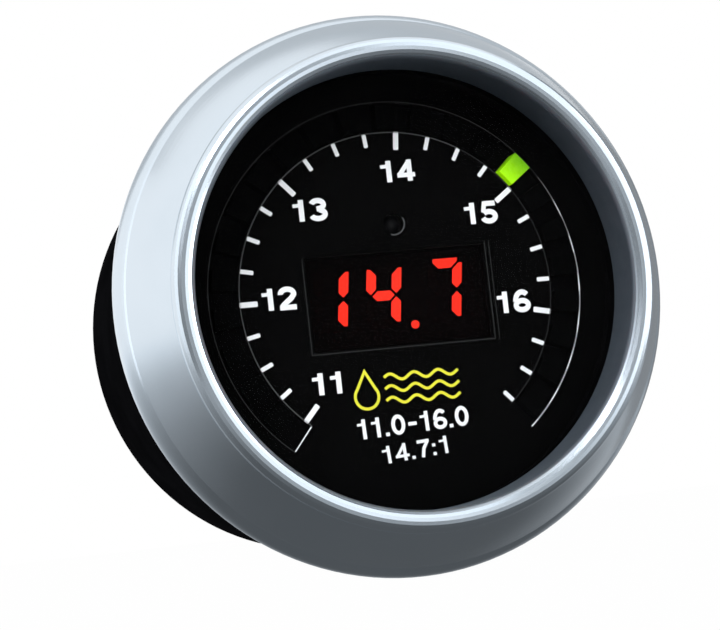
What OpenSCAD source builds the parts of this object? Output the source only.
// Air fuel ratio gauge: a round panel gauge that faces -Y, with +Z up.
// The origin is on the barrel's axis, in the plane where the bezel seats on the panel.
// Modules below work in the gauge's own plane: x right, y up and z towards the viewer.

/* [Housing] */
// Diameter of the barrel that goes through the panel hole
barrel_d = 52; // [50:0.5:54]
// Depth of the barrel behind the panel
barrel_len = 38; // [37:0.5:44]
// Wall of the barrel
barrel_wall = 1.8; // [1.4:0.1:2.2]
// Step from the barrel in to the threaded neck
neck_step = 0.8; // [0.6:0.1:1.1]
// Wall of the threaded neck
neck_wall = 1.3; // [1.1:0.1:1.5]
// How far the barrel's shoulder lies behind the bezel's seat
shoulder_gap = 0.1; // [0.05:0.05:0.3]
// Thickness of the rear wall
rear_wall_t = 2; // [1.6:0.1:2.6]
// Number of ribs that carry the inner stack
rib_count = 3; // [3:1:6]
// Width of a rib
rib_w = 3; // [2:0.2:4]
// How far a rib stands in from the neck's bore
rib_rise = 1; // [0.8:0.1:1.2]
// Chamfer round the back of the barrel
barrel_chamfer = 0.6; // [0.3:0.1:1]

/* [Bezel] */
// How far the bezel reaches out beyond the barrel
bezel_overhang = 3.4; // [3:0.1:5]
// Height of the bezel in front of the panel
bezel_h = 11; // [10.4:0.1:12.5]
// Height of the rim at the back of the bezel
rim_h = 2.9; // [2.4:0.1:3.8]
// How far the rounded rim narrows from its back to the cone
rim_taper = 1; // [0.6:0.1:1.4]
// Bulge of the cone
cone_bulge = 0.1; // [0:0.05:0.4]
// How far the opening's edge covers the neck's bore
opening_cover = 1.2; // [0.9:0.1:1.4]
// Width of the bead round the opening
bead_w = 2.35; // [1.8:0.05:2.8]
// Depth of the groove outside the bead, under the bead's centre
groove_drop = 0.3; // [0.1:0.05:0.5]
// Radial clearance of the bezel's thread
thread_gap = 0.08; // [0.04:0.01:0.1]

/* [Lens] */
// Thickness of the clear lens
lens_t = 1.2; // [1:0.1:1.6]
// Thickness of the gasket over the lens
gasket_t = 0.6; // [0.5:0.1:1]
// Thickness of the ring that holds the faceplate down
ring_t = 1.2; // [1.1:0.1:1.6]

/* [Dial] */
// Height of the dial face in front of the panel
dial_z = 2; // [1.8:0.1:2.6]
// Thickness of the faceplate
plate_t = 0.8; // [0.6:0.1:1]
// Thickness of the light baffle under the faceplate
baffle_t = 4.4; // [4.2:0.1:5]
// How far the light slot lies in from the dial's edge
slot_inset = 3.9; // [3.3:0.1:4.1]
// Width of the light slot
slot_w = 3; // [2.6:0.1:3.2]
// Angle of the slot's left end
slot_start_angle = 230.5; // [228:0.5:232]
// Angle of the slot's right end
slot_end_angle = -50; // [-52:0.5:-48]
// Width of the display window
window_w = 19.3; // [19:0.1:19.8]
// Height of the display window
window_h = 9.8; // [9.4:0.1:10]
// Sideways place of the display window
window_x = 0.2; // [-0.2:0.1:0.4]
// Height of the display window's middle
window_y = -0.6; // [-1:0.1:-0.4]
// Diameter of the hole over the light sensor
sensor_hole_d = 2.1; // [1.6:0.1:2.6]
// Height of the light sensor on the dial
sensor_y = 7.1; // [7:0.1:7.8]

/* [Light guides] */
// Number of light guides
guide_count = 23; // [19:1:23]
// Angle from one light guide to the next
guide_step_angle = 12; // [10:0.5:12]
// Angle of the first light guide
guide_first_angle = 220; // [219:0.5:221]
// Angle that one light guide spans
guide_span_angle = 6.4; // [5.6:0.1:7]
// How far the guides stand above the baffle
guide_rise = 1.5; // [1.2:0.1:1.8]
// Depth of a guide's seat in the baffle
guide_seat = 1; // [0.8:0.1:1.4]
// Step round the light shaft under a guide
guide_ledge = 0.45; // [0.3:0.05:0.5]
// Place in the row of the guide that is lit
lit_index = 15; // [0:1:18]

/* [Display] */
// Height of a digit
digit_h = 6.7; // [6.2:0.1:7]
// Width of a digit
digit_w = 3.75; // [3.4:0.05:3.8]
// Width of a segment
segment_w = 1; // [0.7:0.05:1.1]
// Gap between two segments
segment_gap = 0.2; // [0.08:0.02:0.26]
// Thickness of a segment
segment_t = 0.1; // [0.06:0.02:0.14]
// Lean of the digits in degrees
digit_lean = 7.5; // [0:0.5:10]
// Space from the window's left edge to the middle of the first digit
digit_left = 2.75; // [2.6:0.05:3]
// Space from the middle of the last digit to the window's right edge
digit_right = 4.2; // [4:0.05:4.5]
// Extra space for the decimal point
point_space = 0.9; // [0.7:0.1:1]
// Diameter of the decimal point
point_d = 0.85; // [0.7:0.05:0.95]
// Thickness of the display filter
filter_t = 1; // [0.8:0.1:1.2]
// Ledge that the filter rests on
filter_ledge = 0.75; // [0.5:0.05:0.8]
// Gap between the display module's face and the filter
display_gap = 0.2; // [0.16:0.02:0.3]

/* [Boards] */
// Thickness of a circuit board
board_t = 1.6; // [1.2:0.1:1.8]
// Space between the main board and the rear wall
board_stand = 10.4; // [10:0.1:11.4]
// Outer diameter of a spacer
spacer_d = 4.8; // [4:0.2:5.2]
// How far the stack screws lie in from the boards' edge
stack_inset = 8; // [7.6:0.1:8.2]
// Thread diameter of a stack screw
screw_d = 2; // [1.6:0.1:2.2]
// Head diameter of a stack screw
screw_head_d = 3.4; // [3:0.1:3.6]
// Head height of a stack screw
screw_head_h = 1.3; // [1:0.1:1.5]
// Depth that a stack screw bites into the baffle
screw_bite = 2.6; // [2:0.1:3]

/* [Rear] */
// How far the sockets stand out behind the barrel
socket_out = 8; // [7:0.5:10]
// Wall of a socket
socket_wall = 1.3; // [1:0.1:1.5]
// Spacing of a socket's pins
pin_pitch = 2.54; // [2.5:0.02:2.6]
// Spacing of the sensor socket's pins
sensor_pitch = 3; // [2.9:0.05:3.1]
// Width of a square pin
pin_w = 0.64; // [0.5:0.02:0.7]
// Sideways distance of each socket from the middle
socket_x = 8.5; // [8.4:0.1:9]
// Height of the sockets above the middle
socket_y = 9; // [8.8:0.1:9.6]
// Distance from each stud to the middle
stud_x = 18; // [17.4:0.1:18.4]
// Thread diameter of a stud
stud_d = 4; // [3.6:0.1:4.2]
// Length of a stud behind the barrel
stud_len = 18; // [15:0.5:24]
// Width of a nut across its flats
nut_flats = 7; // [6.6:0.1:7.4]
// Height of a nut
nut_h = 3.2; // [2.8:0.1:3.6]
// Thickness of a lock washer
washer_t = 1; // [0.8:0.1:1.2]
// Height of the mode switch's middle
switch_y = -12; // [-12.5:0.1:-11.5]
// Side of the mode switch's body
switch_w = 10; // [9:0.2:10.4]
// Height of the mode switch's body
switch_h = 6.5; // [5.8:0.1:6.6]
// Diameter of the mode switch's rotor
rotor_d = 6; // [5:0.2:6.4]
// Diameter of the plug's stem
plug_d = 8.8; // [8:0.2:9.2]
// Diameter of the plug's flange
plug_flange_d = 12; // [11:0.2:12.6]
// Thickness of the plug's flange
plug_flange_t = 1.2; // [1:0.1:1.6]

/* [Hidden] */
$fn = 96;

// Clearances and overrun shared by many pieces
fit = 0.1;
tight = 0.02;
cut = 0.5;
dial_gap = 0.2;
board_gap = 0.3;
lens_gap = 0.4;
seat_gap = 0.15;
guide_gap = 0.15;
steps = 10;

// Radii of the housing and of what fits in it
barrel_r = barrel_d / 2;
neck_r = barrel_r - neck_step;
bore_r = neck_r - neck_wall;
inner_r = barrel_r - barrel_wall;
dial_r = bore_r - dial_gap;
rib_in_r = bore_r - rib_rise;
rib_angle = 30;
board_r = rib_in_r - board_gap;
rear_z = -barrel_len;
rear_in_z = rear_z + rear_wall_t;

// Heights of the stack, from the dial face back to the main board
plate_z = dial_z - plate_t;
baffle_z = plate_z - baffle_t;
display_board_z = baffle_z - board_t;
main_rear_z = rear_in_z + board_stand;
main_front_z = main_rear_z + board_t;

// Heights of what lies over the dial
neck_top = dial_z + ring_t;
lens_top = neck_top + lens_t;
shoulder_z = lens_top + gasket_t;
lens_r = neck_r - lens_gap;
opening_r = bore_r - opening_cover;

// Bezel outline
bezel_r = barrel_r + bezel_overhang;
bead_r = bead_w / 2;
bead_z = bezel_h - bead_r;
groove_z = bead_z - groove_drop;
cone_r = opening_r + bead_w;
rim_chamfer = 0.3;
rim_turn = 2 * atan(rim_taper / (rim_h - rim_chamfer));
rim_r = (rim_h - rim_chamfer) / sin(rim_turn);
bore_lip = 0.2;
gasket_inset = 0.2;

// Light slot and guides
slot_out_r = dial_r - slot_inset;
slot_in_r = slot_out_r - slot_w;
guide_in_r = slot_in_r + guide_gap;
guide_out_r = slot_out_r - guide_gap;
guide_mid_r = (guide_in_r + guide_out_r) / 2;
guide_top = plate_z + guide_rise;
guide_z = plate_z - guide_seat;
ledge_span = asin(guide_ledge / guide_mid_r);
fit_span = asin(fit / guide_mid_r);
chip_radial = 1.2;
chip_across = 0.9;
chip_h = 0.6;

// Display module, filter and digits
module_side = 0.05;
module_end = 0.2;
module_fit = 0.2;
digit_rise = 0.5;
tip_cut = 0.35;
point_back = 0.25;
point_drop = 0.35;
module_w = window_w - 2 * module_side;
module_h = window_h - 2 * module_end;
filter_w = window_w + 2 * filter_ledge;
filter_h = window_h + 2 * filter_ledge;
filter_z = plate_z - filter_t;
module_top = filter_z - display_gap;
digit_y = window_y + digit_rise;
digit_x = window_x - window_w / 2 + digit_left;
digit_pitch = (window_w - digit_left - digit_right - point_space) / 2;
// Segments in the order top, upper right, lower right, bottom, lower left, upper left, middle
segment_index = [[1, 2], [1, 2, 5, 6], [0, 1, 2]];
segment_count = 7;
display_pin_d = 0.5;
display_pin_len = 2.8;
display_pin_cols = 6;
display_pin_row = 3.8;

// Light sensor
sensor_x = 0.4;
sensor_r = 1.4;
sensor_top = plate_z - fit;

// Boards and what stands on them
stack_r = board_r - stack_inset;
stack_angles = [90, 210, 330];
screw_r = screw_d / 2;
screw_end_z = baffle_z + screw_bite;
screw_slot_w = 0.5;
screw_slot_l = 2;
screw_slot_depth = 0.65;
pin_hole_r = pin_w * sqrt(2) / 2 + fit / 2;
link_y = 8;
link_w = 10.2;
link_depth = 5;
link_cols = 4;
link_rows = 2;
header_h = 2.5;
link_gap = 0.4;
link_pin_in = 5;
link_socket_end = main_front_z + header_h + link_gap;
chip_leg_w = 0.3;
micro_size = 7;
micro_h = 1;
micro_legs = 4;
micro_leg_pitch = 0.7;
micro_leg_reach = 1;
micro_x = -8;
chips_y = 0.3;
controller_size = 9;
controller_h = 1.2;
controller_legs = 5;
controller_leg_pitch = 0.75;
controller_leg_reach = 0.6;
controller_x = 8;
regulator_w = 6.5;
regulator_l = 6.1;
regulator_h = 2.3;
regulator_tab_w = 5.2;
regulator_tab_l = 1.2;
power_part_x = 14;
power_part_y = 9.5;
inductor_size = 6;
inductor_h = 3;
inductor_base_h = 1;
inductor_core_r = 2.4;
capacitor_r = 3.15;
capacitor_h = 7.7;
capacitor_x = 6;
capacitor_y = -11;
capacitor_base_h = 0.8;
crystal_w = 11.4;
crystal_l = 4.6;
crystal_h = 3.5;
crystal_inset = 5;
crystal_y = crystal_inset - board_r;
passive_l = 1.6;
passive_w = 0.8;
passive_count = 6;
passive_step = 3;
passive_y = -5.6;

// Sockets and their pins
power_pins_across = 4;
power_cavity_w = 10.4;
power_cavity_h = 6;
sensor_pins_across = 3;
sensor_rows = 2;
sensor_cavity_w = 10.4;
sensor_cavity_h = 7.4;
socket_floor = 7;
socket_key_w = 2;
socket_key_h = 0.8;
socket_key_l = 4;
socket_end_z = rear_z - socket_out;
pin_free = 6;
power_w = power_cavity_w + 2 * socket_wall;
power_h = power_cavity_h + 2 * socket_wall;
sensor_w = sensor_cavity_w + 2 * socket_wall;
sensor_h = sensor_cavity_h + 2 * socket_wall;

// Studs, nuts, washers, switch and plug
stud_r = stud_d / 2;
stud_head_r = 3.4;
stud_head_h = 1.4;
stud_tip = 0.5;
nut_r = nut_flats / 2 / cos(30);
nut_chamfer = 0.4;
washer_r = 3.8;
washer_split = 0.7;
running = 0.05;
switch_end_z = main_rear_z - switch_h;
rotor_r = rotor_d / 2;
rotor_depth = 2.4;
rotor_proud = 0.4;
rotor_slot_w = 1;
rotor_slot_l = 4.8;
rotor_slot_depth = 0.9;
plug_r = plug_d / 2;
plug_reach = 0.4;
plug_grip_w = 1.6;
plug_grip_h = 1.6;
plug_grip_l = 6;

// Turns the gauge's plane to face -Y
module facing() {
    rotate([90, 0, 0]) children();
}

module disc(r, z0, z1) {
    translate([0, 0, z0]) cylinder(h = z1 - z0, r = r);
}

module ring(r_out, r_in, z0, z1) {
    difference() {
        disc(r_out, z0, z1);
        disc(r_in, z0 - cut, z1 + cut);
    }
}

module block(w, h, z0, z1) {
    translate([-w / 2, -h / 2, z0]) cube([w, h, z1 - z0]);
}

// Piece of a ring between two angles
module sector(r_in, r_out, a0, a1, z0, z1) {
    rotate([0, 0, a0]) rotate_extrude(angle = a1 - a0) translate([r_in, z0])
        square([r_out - r_in, z1 - z0]);
}

function arc(x, y, r, a0, a1) =
    [for (i = [0:steps]) [x + r * cos(a0 + (a1 - a0) * i / steps), y + r * sin(a0 + (a1 - a0) * i / steps)]];

function cone_points(r0, z0, r1, z1) =
    [for (i = [1:steps - 1]) let (t = i / steps, b = cone_bulge * sin(180 * t))
        [r0 + (r1 - r0) * t + b, z0 + (z1 - z0) * t + b]];

// Places children at each stack screw
module at_stack() {
    for (a = stack_angles) translate([stack_r * cos(a), stack_r * sin(a), 0]) children();
}

// Places children at each pin of a grid
module at_grid(cols, rows, pitch) {
    for (i = [0:cols - 1]) for (j = [0:rows - 1])
        translate([(i - (cols - 1) / 2) * pitch, (j - (rows - 1) / 2) * pitch, 0]) children();
}

module at_power_pins() {
    translate([-socket_x, socket_y, 0]) at_grid(power_pins_across, 1, pin_pitch) children();
}

module at_sensor_pins() {
    translate([socket_x, socket_y, 0]) at_grid(sensor_pins_across, sensor_rows, sensor_pitch) children();
}

module at_link_pins() {
    translate([0, link_y, 0]) at_grid(link_cols, link_rows, pin_pitch) children();
}

module at_display_pins() {
    for (s = [-1, 1]) translate([window_x, window_y + s * display_pin_row, 0])
        at_grid(display_pin_cols, 1, pin_pitch) children();
}

module housing() {
    color("#0b0b0c") facing() difference() {
        union() {
            rotate_extrude() polygon([
                [0, rear_z],
                [barrel_r - barrel_chamfer, rear_z],
                [barrel_r, rear_z + barrel_chamfer],
                [barrel_r, -shoulder_gap],
                [neck_r, -shoulder_gap],
                [neck_r, neck_top],
                [bore_r, neck_top],
                [bore_r, baffle_z - fit],
                [inner_r, baffle_z - fit],
                [inner_r, rear_in_z],
                [0, rear_in_z]
            ]);
            for (i = [0:rib_count - 1]) rotate([0, 0, rib_angle + 360 / rib_count * i])
                intersection() {
                    translate([rib_in_r, -rib_w / 2, rear_in_z - cut])
                        cube([barrel_r - rib_in_r - barrel_wall / 2, rib_w, baffle_z - rear_in_z + cut]);
                    disc(barrel_r - barrel_wall / 2, rear_z, neck_top);
                }
        }
        translate([-socket_x, socket_y, 0])
            block(power_w + 2 * fit, power_h + 2 * fit, rear_z - cut, rear_in_z + cut);
        translate([socket_x, socket_y, 0])
            block(sensor_w + 2 * fit, sensor_h + 2 * fit, rear_z - cut, rear_in_z + cut);
        translate([0, switch_y, 0]) disc(plug_r + running, rear_z - cut, rear_in_z + cut);
        for (s = [-1, 1]) translate([s * stud_x, 0, 0]) disc(stud_r + tight, rear_z - cut, rear_in_z + cut);
    }
}

module bezel() {
    profile = concat(
        [
            [barrel_r + seat_gap, 0],
            [bezel_r - rim_chamfer, 0]
        ],
        arc(bezel_r - rim_r, rim_chamfer, rim_r, 0, rim_turn),
        cone_points(bezel_r - rim_taper, rim_h, cone_r, groove_z),
        [[cone_r, groove_z]],
        arc(opening_r + bead_r, bead_z, bead_r, 0, 180),
        [
            [opening_r, shoulder_z],
            [lens_r + seat_gap, shoulder_z],
            [lens_r + seat_gap, neck_top + bore_lip],
            [neck_r + thread_gap, neck_top + bore_lip],
            [neck_r + thread_gap, bore_lip],
            [barrel_r + seat_gap, bore_lip]
        ]
    );
    color("#b9c6d2") facing() rotate_extrude() polygon(profile);
}

module lens_gasket() {
    color("#101010") facing() ring(lens_r, opening_r + gasket_inset, lens_top, shoulder_z);
}

module lens() {
    color("#dfe8ec", 0.2) facing() disc(lens_r, neck_top, lens_top);
}

module retaining_ring() {
    color("#0d0d0e") facing() ring(bore_r - fit, opening_r + fit, dial_z, neck_top);
}

module faceplate() {
    color("#080808") facing() difference() {
        disc(dial_r, plate_z, dial_z);
        sector(slot_in_r, slot_out_r, slot_end_angle, slot_start_angle, plate_z - cut, dial_z + cut);
        translate([window_x, window_y, 0]) block(window_w, window_h, plate_z - cut, dial_z + cut);
        translate([sensor_x, sensor_y, 0]) disc(sensor_hole_d / 2, plate_z - cut, dial_z + cut);
    }
}

function guide_angle(i) = guide_first_angle - guide_step_angle * i;

module light_baffle() {
    color("#141416") facing() difference() {
        disc(dial_r, baffle_z, plate_z);
        for (i = [0:guide_count - 1]) {
            a = guide_angle(i);
            sector(guide_in_r - fit, guide_out_r + fit, a - guide_span_angle / 2 - fit_span,
                a + guide_span_angle / 2 + fit_span, guide_z, plate_z + cut);
            sector(guide_in_r + guide_ledge, guide_out_r - guide_ledge, a - guide_span_angle / 2 + ledge_span,
                a + guide_span_angle / 2 - ledge_span, baffle_z - cut, plate_z);
        }
        translate([window_x, window_y, 0]) {
            block(module_w + 2 * module_fit, module_h + 2 * module_fit, baffle_z - cut, plate_z);
            block(filter_w + 2 * fit, filter_h + 2 * fit, filter_z, plate_z + cut);
        }
        translate([sensor_x, sensor_y, 0]) disc(sensor_r + fit, baffle_z - cut, plate_z + cut);
        at_stack() disc(screw_r + tight, baffle_z - cut, screw_end_z + fit);
    }
}

module light_guide(i) {
    a = guide_angle(i);
    sector(guide_in_r, guide_out_r, a - guide_span_angle / 2, a + guide_span_angle / 2, guide_z, guide_top);
}

module light_guides() {
    color("#17191a") facing() for (i = [0:guide_count - 1]) if (i != lit_index) light_guide(i);
}

module lit_light_guide() {
    color("#8fe000") facing() light_guide(lit_index);
}

module display_filter() {
    color("#0a0203", 0.6) facing() translate([window_x, window_y, 0])
        block(filter_w, filter_h, filter_z, plate_z);
}

module display_module() {
    color("#0a0a0a") facing() translate([window_x, window_y, 0])
        block(module_w, module_h, baffle_z, module_top);
}

// One corner of a segment, mirrored by sx and sy and leaned with the digit
function lean(p) = [p[0] + p[1] * tan(digit_lean), p[1]];

function upright_segment(sx, sy) =
    let (w = digit_w / 2, h = digit_h / 2, t = segment_w, g = segment_gap)
        [for (p = [[w, h - g - tip_cut], [w - tip_cut, h - g - tip_cut], [w - t, h - t - g],
            [w - t, t / 2 + g], [w - t / 2, g], [w, t / 2 + g]])
            lean([sx * p[0], sy * p[1]])];

function flat_segment(sy) =
    let (w = digit_w / 2, h = digit_h / 2, t = segment_w, g = segment_gap)
        [for (p = [[g + tip_cut - w, h - tip_cut], [g + tip_cut - w, h], [w - g - tip_cut, h],
            [w - g - tip_cut, h - tip_cut], [w - t - g, h - t], [t + g - w, h - t]])
            lean([p[0], sy * p[1]])];

function middle_segment() =
    let (w = digit_w / 2, t = segment_w, g = segment_gap)
        [for (p = [[t / 2 + g - w, 0], [t + g - w, t / 2], [w - t - g, t / 2],
            [w - t / 2 - g, 0], [w - t - g, -t / 2], [t + g - w, -t / 2]]) lean(p)];

function segment_points(s) =
    s == 0 ? flat_segment(1) :
    s == 1 ? upright_segment(1, 1) :
    s == 2 ? upright_segment(1, -1) :
    s == 3 ? flat_segment(-1) :
    s == 4 ? upright_segment(-1, -1) :
    s == 5 ? upright_segment(-1, 1) :
    middle_segment();

function digit_place(d) = digit_x + digit_pitch * d + (d == 2 ? point_space : 0);

module segment(d, s) {
    translate([digit_place(d), digit_y, module_top]) linear_extrude(height = segment_t)
        polygon(segment_points(s));
}

module lit_segments() {
    color("#ff3a20") facing() {
        for (d = [0:2]) for (s = segment_index[d]) segment(d, s);
        translate([(digit_place(1) + digit_place(2)) / 2 - point_back,
            digit_y - digit_h / 2 + point_d / 2 - point_drop, 0])
            disc(point_d / 2, module_top, module_top + segment_t);
    }
}

module dark_segments() {
    color("#1c0705") facing()
        for (d = [0:2]) for (s = [0:segment_count - 1])
            if (len(search(s, segment_index[d])) == 0) segment(d, s);
}

module display_pins() {
    color("#c8c8c8") facing() at_display_pins() disc(display_pin_d / 2, baffle_z - display_pin_len, baffle_z);
}

module light_sensor() {
    color("#2a2c30") facing() translate([sensor_x, sensor_y, 0]) rotate_extrude() polygon(concat(
        [[0, baffle_z], [sensor_r, baffle_z]],
        arc(0, sensor_top - sensor_r, sensor_r, 0, 90)
    ));
}

module led_chips() {
    color("#e8e4c8") facing() for (i = [0:guide_count - 1]) rotate([0, 0, guide_angle(i)])
        translate([guide_mid_r, 0, 0]) block(chip_radial, chip_across, baffle_z, baffle_z + chip_h);
}

module display_board() {
    color("#0f4a2a") facing() difference() {
        disc(board_r, display_board_z, baffle_z);
        at_stack() disc(screw_r + fit, display_board_z - cut, baffle_z + cut);
        at_display_pins() disc(display_pin_d / 2 + fit, display_board_z - cut, baffle_z + cut);
    }
}

module board_link_socket() {
    color("#111111") facing() difference() {
        translate([0, link_y, 0]) block(link_w, link_depth, link_socket_end, display_board_z);
        at_link_pins() disc(pin_hole_r, link_socket_end - cut, link_socket_end + link_pin_in + link_gap);
    }
}

module board_link_header() {
    color("#161616") facing() difference() {
        translate([0, link_y, 0]) block(link_w, link_depth, main_front_z, main_front_z + header_h);
        at_link_pins() disc(pin_hole_r, main_front_z - cut, main_front_z + header_h + cut);
    }
}

module board_link_pins() {
    color("#d8b25a") facing() at_link_pins() block(pin_w, pin_w, main_rear_z, link_socket_end + link_pin_in);
}

module board_spacers() {
    color("#c9b27a") facing() at_stack() ring(spacer_d / 2, screw_r + fit, main_front_z, display_board_z);
}

module stack_screws() {
    color("#8d9094") facing() at_stack() difference() {
        union() {
            disc(screw_r, main_rear_z - cut, screw_end_z);
            disc(screw_head_d / 2, main_rear_z - screw_head_h, main_rear_z);
        }
        for (a = [0, 90]) rotate([0, 0, a])
            block(screw_slot_l, screw_slot_w, main_rear_z - screw_head_h - cut,
                main_rear_z - screw_head_h + screw_slot_depth);
    }
}

module main_board() {
    color("#0f4a2a") facing() difference() {
        disc(board_r, main_rear_z, main_front_z);
        at_stack() disc(screw_r + fit, main_rear_z - cut, main_front_z + cut);
        at_power_pins() disc(pin_hole_r, main_rear_z - cut, main_front_z + cut);
        at_sensor_pins() disc(pin_hole_r, main_rear_z - cut, main_front_z + cut);
        at_link_pins() disc(pin_hole_r, main_rear_z - cut, main_front_z + cut);
    }
}

module on_board(x, y) {
    translate([x, y, main_front_z]) children();
}

module microcontroller() {
    color("#1a1a1c") facing() on_board(micro_x, chips_y) {
        block(micro_size, micro_size, 0, micro_h);
        for (a = [0, 90]) rotate([0, 0, a]) for (i = [-micro_legs:micro_legs])
            translate([i * micro_leg_pitch, 0, 0])
                block(chip_leg_w, micro_size + 2 * micro_leg_reach, 0, chip_leg_w);
    }
}

module sensor_controller() {
    color("#1c1c20") facing() on_board(controller_x, chips_y) {
        block(controller_size, controller_size, 0, controller_h);
        for (a = [0, 90]) rotate([0, 0, a]) for (i = [-controller_legs:controller_legs])
            translate([i * controller_leg_pitch, 0, 0])
                block(chip_leg_w, controller_size + 2 * controller_leg_reach, 0, chip_leg_w);
    }
}

module voltage_regulator() {
    color("#202022") facing() on_board(-power_part_x, power_part_y) {
        block(regulator_w, regulator_l, 0, regulator_h);
        translate([0, regulator_l / 2, 0]) block(regulator_tab_w, 2 * regulator_tab_l, 0, chip_leg_w);
    }
}

module inductor() {
    color("#3a3a3e") facing() on_board(power_part_x, power_part_y) {
        block(inductor_size, inductor_size, 0, inductor_base_h);
        disc(inductor_core_r, 0, inductor_h);
    }
}

module capacitors() {
    color("#2b2f4a") facing() for (s = [-1, 1]) on_board(s * capacitor_x, capacitor_y) {
        block(2 * capacitor_r, 2 * capacitor_r, 0, capacitor_base_h);
        disc(capacitor_r, 0, capacitor_h);
    }
}

module crystal() {
    color("#c0c4c8") facing() on_board(0, crystal_y) for (s = [-1, 1]) {
        translate([s * (crystal_w - crystal_l) / 2, 0, 0]) disc(crystal_l / 2, 0, crystal_h);
        block(crystal_w - crystal_l, crystal_l, 0, crystal_h);
    }
}

module chip_capacitors() {
    color("#b59a6a") facing() for (i = [0:passive_count - 1])
        on_board((i - (passive_count - 1) / 2) * passive_step, passive_y)
            block(passive_l, passive_w, 0, passive_w);
}

// Shell open at the back, with a solid floor next to the board and a key along its upper wall
module socket_shell(w, h) {
    difference() {
        block(w, h, socket_end_z, main_rear_z);
        block(w - 2 * socket_wall, h - 2 * socket_wall, socket_end_z - cut, main_rear_z - socket_floor);
    }
    translate([0, h / 2 + socket_key_h / 2, 0])
        block(socket_key_w, socket_key_h, socket_end_z, socket_end_z + socket_key_l);
}

module power_socket() {
    color("#1b1b1d") facing() difference() {
        translate([-socket_x, socket_y, 0]) socket_shell(power_w, power_h);
        at_power_pins() disc(pin_hole_r, main_rear_z - socket_floor - cut, main_rear_z + cut);
    }
}

module power_pins() {
    color("#d9dadc") facing() at_power_pins() block(pin_w, pin_w, socket_end_z + pin_free, main_front_z);
}

module sensor_socket() {
    color("#232325") facing() difference() {
        translate([socket_x, socket_y, 0]) socket_shell(sensor_w, sensor_h);
        at_sensor_pins() disc(pin_hole_r, main_rear_z - socket_floor - cut, main_rear_z + cut);
    }
}

module sensor_pins() {
    color("#d9dadc") facing() at_sensor_pins() block(pin_w, pin_w, socket_end_z + pin_free, main_front_z);
}

module mode_switch_body() {
    color("#2d3f8a") facing() translate([0, switch_y, 0]) difference() {
        block(switch_w, switch_w, switch_end_z, main_rear_z);
        disc(rotor_r + running, switch_end_z - cut, switch_end_z + rotor_depth);
    }
}

module mode_switch_rotor() {
    color("#e9e6dc") facing() translate([0, switch_y, 0]) difference() {
        disc(rotor_r, switch_end_z - rotor_proud, switch_end_z + rotor_depth - running);
        block(rotor_slot_l, rotor_slot_w, switch_end_z - rotor_proud - cut,
            switch_end_z - rotor_proud + rotor_slot_depth);
    }
}

module switch_plug() {
    color("#151515") facing() translate([0, switch_y, 0]) {
        disc(plug_r, rear_z, rear_in_z + plug_reach);
        disc(plug_flange_d / 2, rear_z - plug_flange_t, rear_z);
        block(plug_grip_l, plug_grip_w, rear_z - plug_flange_t - plug_grip_h, rear_z - plug_flange_t);
    }
}

module studs() {
    color("#b4b2a8") facing() for (s = [-1, 1]) translate([s * stud_x, 0, 0]) {
        disc(stud_r, rear_z - stud_len + stud_tip, rear_in_z);
        translate([0, 0, rear_z - stud_len])
            cylinder(h = stud_tip, r1 = stud_r - stud_tip, r2 = stud_r);
        disc(stud_head_r, rear_in_z, rear_in_z + stud_head_h);
    }
}

module lock_washer(s) {
    translate([s * stud_x, 0, 0]) difference() {
        ring(washer_r, stud_r + running, rear_z - washer_t, rear_z);
        translate([washer_r / 2 + stud_r / 2, 0, 0])
            block(washer_r, washer_split, rear_z - washer_t - cut, rear_z + cut);
    }
}

module stud_nut(s) {
    z1 = rear_z - washer_t;
    z0 = z1 - nut_h;
    translate([s * stud_x, 0, 0]) difference() {
        intersection() {
            translate([0, 0, z0]) cylinder(h = nut_h, r = nut_r, $fn = 6);
            rotate_extrude() polygon([
                [0, z0],
                [nut_r - nut_chamfer, z0],
                [nut_r, z0 + nut_chamfer],
                [nut_r, z1 - nut_chamfer],
                [nut_r - nut_chamfer, z1],
                [0, z1]
            ]);
        }
        disc(stud_r + running, z0 - cut, z1 + cut);
    }
}

module washer_left() {
    color("#a8a9ab") facing() lock_washer(-1);
}

module washer_right() {
    color("#a8a9ab") facing() lock_washer(1);
}

module nut_left() {
    color("#c2b78e") facing() stud_nut(-1);
}

module nut_right() {
    color("#c2b78e") facing() stud_nut(1);
}

housing();
bezel();
lens_gasket();
lens();
retaining_ring();
faceplate();
light_baffle();
light_guides();
lit_light_guide();
display_filter();
display_module();
dark_segments();
lit_segments();
display_pins();
light_sensor();
led_chips();
display_board();
board_link_socket();
board_link_header();
board_link_pins();
board_spacers();
stack_screws();
main_board();
microcontroller();
sensor_controller();
voltage_regulator();
inductor();
capacitors();
crystal();
chip_capacitors();
power_socket();
power_pins();
sensor_socket();
sensor_pins();
mode_switch_body();
mode_switch_rotor();
switch_plug();
studs();
washer_left();
washer_right();
nut_left();
nut_right();
